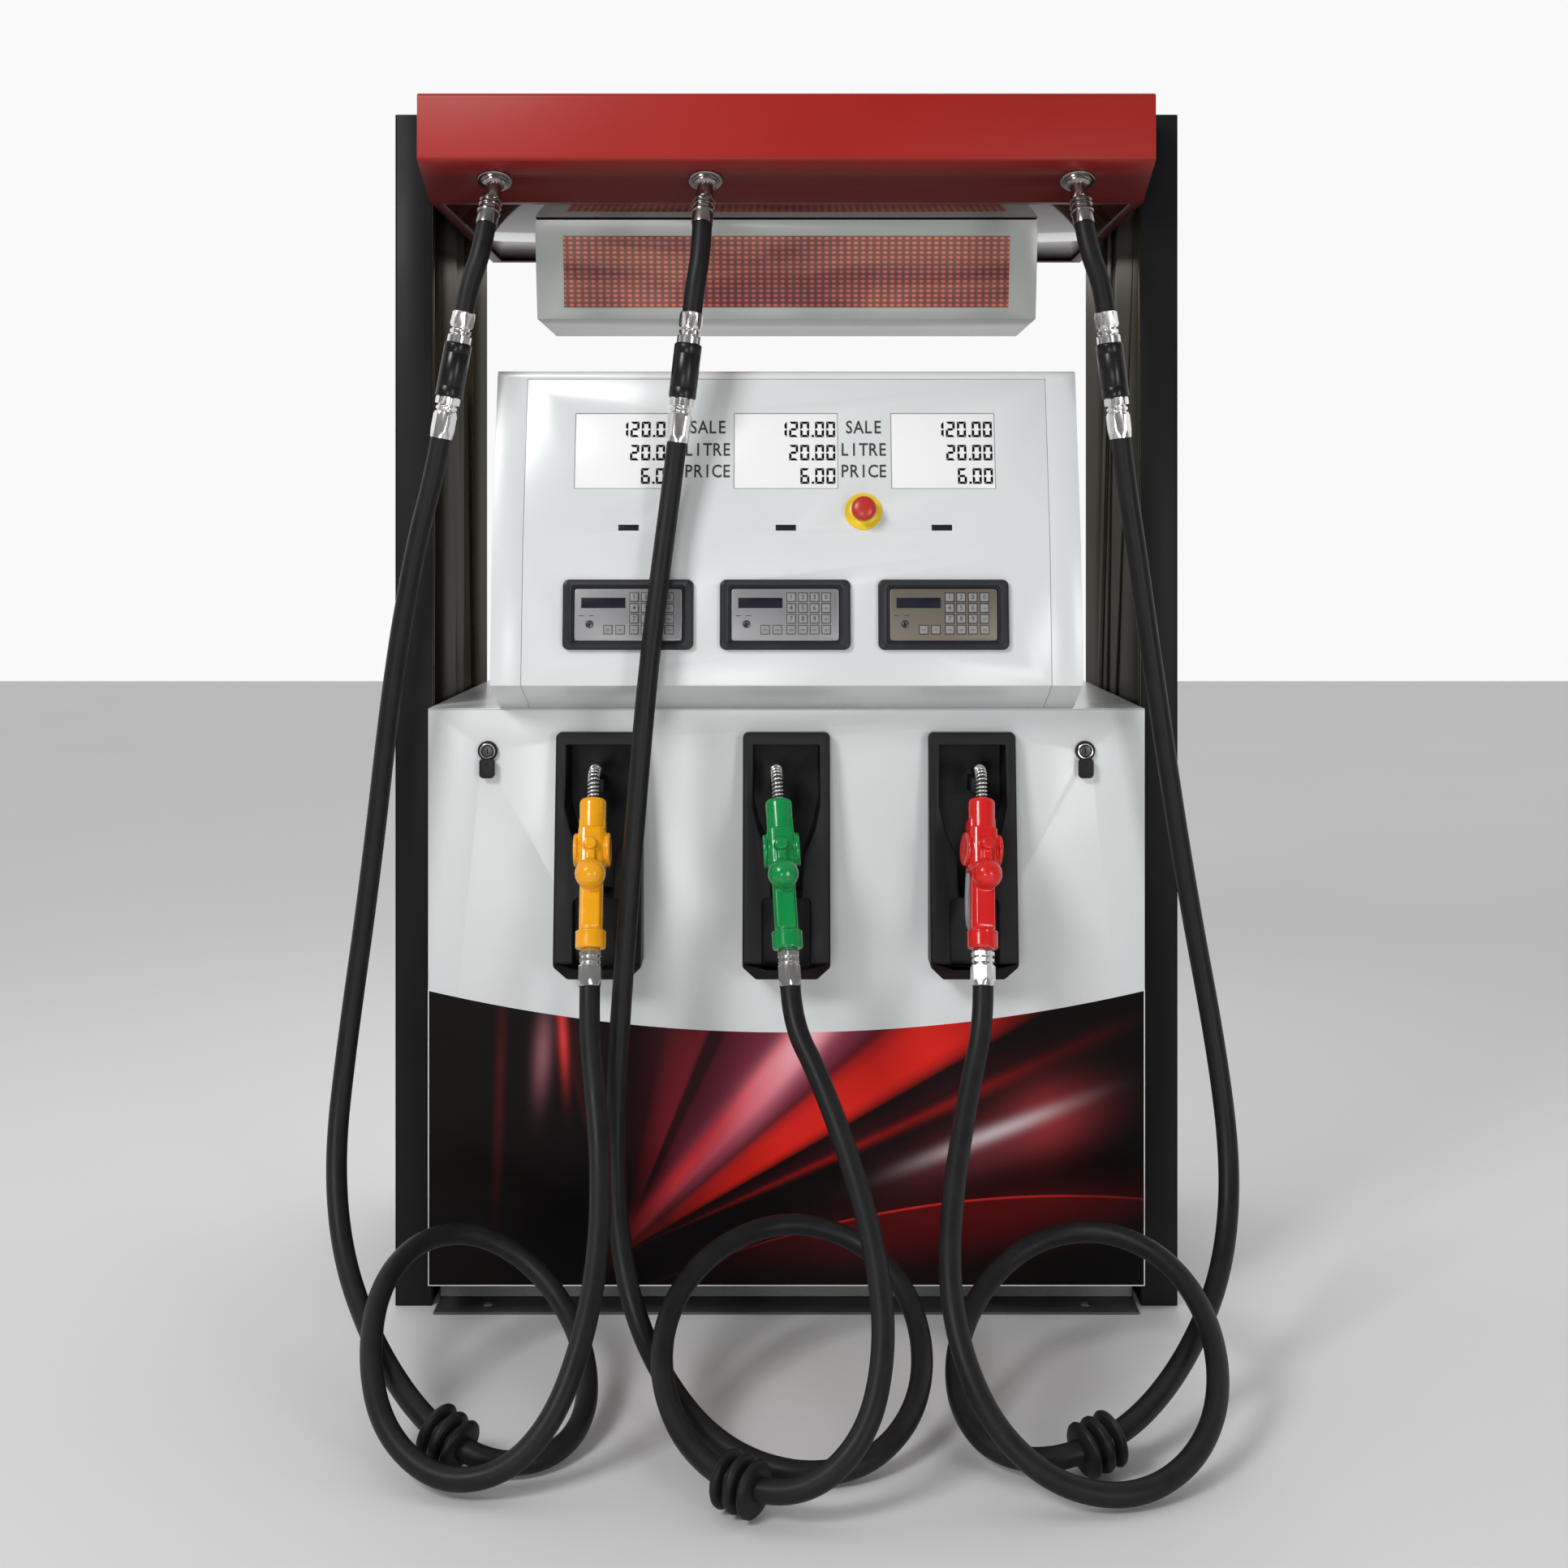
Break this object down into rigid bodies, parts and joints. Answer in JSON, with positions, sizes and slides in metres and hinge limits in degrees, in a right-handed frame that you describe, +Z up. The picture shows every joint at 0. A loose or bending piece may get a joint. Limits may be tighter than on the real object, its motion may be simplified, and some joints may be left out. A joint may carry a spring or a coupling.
{
  "type": "fuel dispenser",
  "caption": "Fuel dispenser with a canopy on two columns, a display head with keypads, a lower cabinet with nozzle boots, nozzles and looped hoses.",
  "frame": {"origin": "on the floor, at the centre of the four anchor bolt holes", "axes": "+Z up, -Y out of the front with the displays and nozzles, +X to the right of someone facing the front"},
  "size_m": [1.4327, 1.466, 1.995],
  "materials": {
    "frame_steel": "satin",
    "black_paint": "satin",
    "brushed_liner": "gloss",
    "red_paint": "satin",
    "gloss_red_panel": "gloss",
    "silver_paint": "satin",
    "lower_graphic": "gloss",
    "led_display": "matte",
    "lcd_glass": "gloss",
    "yellow_plastic": "satin",
    "red_button": "gloss",
    "dark_bezel": "satin",
    "keypad_steel": "satin",
    "key_metal": "satin",
    "chrome_parts": "gloss",
    "black_plastic": "matte",
    "hinge_steel": "satin",
    "nozzle_yellow": "gloss",
    "nozzle_green": "gloss",
    "nozzle_red": "gloss",
    "lever_grey": "satin",
    "spout_aluminium": "satin",
    "hose_rubber": "matte",
    "breakaway_black": "satin",
    "pump_iron": "satin",
    "motor_grey": "satin",
    "meter_aluminium": "satin",
    "pipe_steel": "satin"
  },
  "bodies": {
    "machine": {"base_frame": "frame_steel", "breakaway_left": "breakaway_black", "breakaway_middle": "breakaway_black", "breakaway_right": "breakaway_black", "cabinet_top_plate": "silver_paint", "canopy": "red_paint", "canopy_soffit": "gloss_red_panel", "column_liners": "brushed_liner", "control_box": "black_paint", "displays": "lcd_glass", "door_hinge_pins": "hinge_steel", "door_locks": "chrome_parts", "flow_meters": "meter_aluminium", "front_panel": "lower_graphic", "head_front_panel": "silver_paint", "head_housing": "silver_paint", "hose_left": "hose_rubber", "hose_middle": "hose_rubber", "hose_right": "hose_rubber", "hose_rings": "hose_rubber", "hose_swivel_left": "chrome_parts", "hose_swivel_middle": "chrome_parts", "hose_swivel_right": "chrome_parts", "keypad_bezels": "dark_bezel", "keypad_plates": "keypad_steel", "led_matrix": "led_display", "left_column": "black_paint", "nozzle_body_left": "nozzle_yellow", "nozzle_body_middle": "nozzle_green", "nozzle_body_right": "nozzle_red", "nozzle_boot_left": "black_plastic", "nozzle_boot_middle": "black_plastic", "nozzle_boot_right": "black_plastic", "nozzle_spout_left": "spout_aluminium", "nozzle_spout_middle": "spout_aluminium", "nozzle_spout_right": "spout_aluminium", "outlet_fittings": "chrome_parts", "pump_motors": "motor_grey", "pump_units": "pump_iron", "right_column": "black_paint", "riser_pipes": "pipe_steel", "sign_box": "silver_paint", "stop_collar": "yellow_plastic", "whip_hose_left": "hose_rubber", "whip_hose_middle": "hose_rubber", "whip_hose_right": "hose_rubber"},
    "stop_button": {"stop_button": "red_button"},
    "keys_left": {"keys_left": "key_metal"},
    "key_switch_left": {"key_switch_left": "chrome_parts"},
    "keys_middle": {"keys_middle": "key_metal"},
    "key_switch_middle": {"key_switch_middle": "chrome_parts"},
    "keys_right": {"keys_right": "key_metal"},
    "key_switch_right": {"key_switch_right": "chrome_parts"},
    "lock_cover_left": {"lock_cover_left": "black_plastic"},
    "lock_cover_right": {"lock_cover_right": "black_plastic"},
    "rear_door": {"rear_door": "silver_paint"},
    "head_rear_door": {"head_rear_door": "silver_paint"},
    "nozzle_lever_left": {"nozzle_lever_left": "lever_grey"},
    "nozzle_lever_middle": {"nozzle_lever_middle": "lever_grey"},
    "nozzle_lever_right": {"nozzle_lever_right": "lever_grey"}
  },
  "joints": [
    {"name": "stop_button_press", "type": "slide", "parent": "machine", "child": "stop_button", "axis": [0, 0.9768, -0.2143], "range_m": [0, 0.004]},
    {"name": "keys_left_press", "type": "slide", "parent": "machine", "child": "keys_left", "axis": [0, 0.9946, -0.1042], "range_m": [0, 0.0008], "stiffness_N_per_m": 900, "springref_m": -0.0005},
    {"name": "key_switch_left_turn", "type": "hinge", "parent": "machine", "child": "key_switch_left", "pos_m": [-0.3135, -0.44881, 1.14848], "axis": [0, -0.9946, 0.1042], "range_deg": [0, 90]},
    {"name": "keys_middle_press", "type": "slide", "parent": "machine", "child": "keys_middle", "axis": [0, 0.9946, -0.1042], "range_m": [0, 0.0008], "stiffness_N_per_m": 900, "springref_m": -0.0005},
    {"name": "key_switch_middle_turn", "type": "hinge", "parent": "machine", "child": "key_switch_middle", "pos_m": [-0.0635, -0.44881, 1.14848], "axis": [0, -0.9946, 0.1042], "range_deg": [0, 90]},
    {"name": "keys_right_press", "type": "slide", "parent": "machine", "child": "keys_right", "axis": [0, 0.9946, -0.1042], "range_m": [0, 0.0008], "stiffness_N_per_m": 900, "springref_m": -0.0005},
    {"name": "key_switch_right_turn", "type": "hinge", "parent": "machine", "child": "key_switch_right", "pos_m": [0.1885, -0.44881, 1.14848], "axis": [0, -0.9946, 0.1042], "range_deg": [0, 90]},
    {"name": "lock_cover_left_swing", "type": "hinge", "parent": "machine", "child": "lock_cover_left", "pos_m": [-0.49, -0.362, 0.9165], "axis": [0, 1, 0], "range_deg": [-180, 180]},
    {"name": "lock_cover_right_swing", "type": "hinge", "parent": "machine", "child": "lock_cover_right", "pos_m": [0.49, -0.362, 0.9165], "axis": [0, 1, 0], "range_deg": [-180, 180]},
    {"name": "rear_door_hinge", "type": "hinge", "parent": "machine", "child": "rear_door", "pos_m": [-0.584, 0.2925, 0.53], "axis": [0, 0, 1], "range_deg": [0, 100]},
    {"name": "head_rear_door_hinge", "type": "hinge", "parent": "machine", "child": "head_rear_door", "pos_m": [-0.41, 0.291, 1.28], "axis": [0, 0, 1], "range_deg": [0, 100]},
    {"name": "nozzle_lever_left_squeeze", "type": "hinge", "parent": "machine", "child": "nozzle_lever_left", "pos_m": [-0.3062, -0.44249, 0.77433], "axis": [-0.9998, -0.0076, -0.0189], "range_deg": [0, 12], "stiffness_Nm_per_rad": 2, "springref_deg": -17.19},
    {"name": "nozzle_lever_middle_squeeze", "type": "hinge", "parent": "machine", "child": "nozzle_lever_middle", "pos_m": [-0.00725, -0.44307, 0.77363], "axis": [-0.9979, -0.0242, -0.0596], "range_deg": [0, 12], "stiffness_Nm_per_rad": 2, "springref_deg": -17.19},
    {"name": "nozzle_lever_right_squeeze", "type": "hinge", "parent": "machine", "child": "nozzle_lever_right", "pos_m": [0.30181, -0.44302, 0.77469], "axis": [-0.9812, -0.1658, 0.0991], "range_deg": [0, 12], "stiffness_Nm_per_rad": 2, "springref_deg": -17.19}
  ]
}
